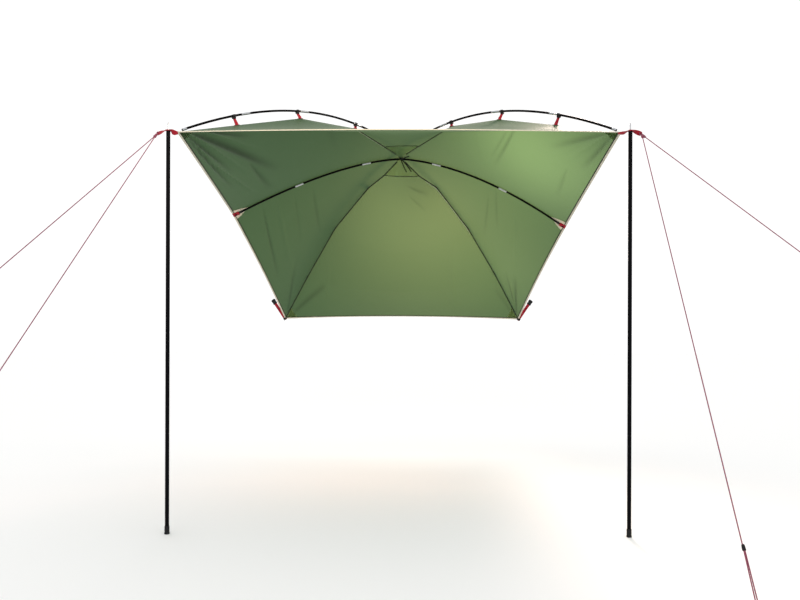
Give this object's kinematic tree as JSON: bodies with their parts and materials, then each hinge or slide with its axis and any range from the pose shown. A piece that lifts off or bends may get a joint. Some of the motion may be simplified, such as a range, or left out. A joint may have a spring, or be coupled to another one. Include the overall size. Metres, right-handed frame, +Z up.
{
  "type": "car awning tent",
  "caption": "Vehicle awning: a domed fabric canopy hung from arched poles, held up in front by upright poles and pegged guy lines, open behind for the vehicle.",
  "frame": {"origin": "centre of the flat underside of the left front pole's foot, on the ground", "axes": "+X from the left front pole to the right one, along the open front; +Y from the open front to the vehicle; +Z up"},
  "size_m": [6.0116, 3.6123, 2.3506],
  "materials": {
    "green_fabric": "coated polyester, plain weave, dull",
    "beige_tape": "ribbed binding tape",
    "black_steel_tube": "satin powder coat",
    "black_rod": "smooth glass fibre rod",
    "bare_metal": "bare drawn metal",
    "red_webbing": "woven webbing",
    "black_plastic": "moulded, fine grain",
    "red_cord": "braided cord",
    "peg_steel": "galvanised wire"
  },
  "bodies": {
    "root": {"front_pole_left": "black_steel_tube", "front_pole_right": "black_steel_tube", "pole_foot_left": "black_plastic", "pole_foot_right": "black_plastic", "pole_spike_left": "bare_metal", "pole_spike_right": "bare_metal", "corner_webbing_left": "red_webbing", "corner_webbing_right": "red_webbing", "canopy_front": "green_fabric", "canopy_front_left": "green_fabric", "canopy_front_right": "green_fabric", "canopy_rear": "green_fabric", "canopy_rear_left": "green_fabric", "canopy_rear_right": "green_fabric", "canopy_apex_patch": "green_fabric", "hem_front": "beige_tape", "hem_left": "beige_tape", "hem_rear": "beige_tape", "hem_right": "beige_tape", "arch_pole_left": "black_rod", "arch_pole_right": "black_rod", "cross_pole": "black_rod", "side_pocket_left": "red_webbing", "side_pocket_right": "red_webbing", "clip_left_front_1": "red_webbing", "clip_left_front_2": "red_webbing", "clip_left_front_3": "red_webbing", "clip_left_rear_1": "red_webbing", "clip_left_rear_2": "red_webbing", "clip_left_rear_3": "red_webbing", "clip_right_front_1": "red_webbing", "clip_right_front_2": "red_webbing", "clip_right_front_3": "red_webbing", "clip_right_rear_1": "red_webbing", "clip_right_rear_2": "red_webbing", "clip_right_rear_3": "red_webbing", "apex_tie": "red_webbing", "rear_strap_left": "red_webbing", "rear_strap_right": "red_webbing", "rear_hook_left": "black_plastic", "rear_hook_right": "black_plastic", "guy_line_left_front": "red_cord", "guy_line_left_side": "red_cord", "guy_line_right_front": "red_cord", "guy_line_right_side": "red_cord", "peg_left_front": "peg_steel", "peg_left_side": "peg_steel", "peg_right_front": "peg_steel", "peg_right_side": "peg_steel"}
  },
  "joints": []
}
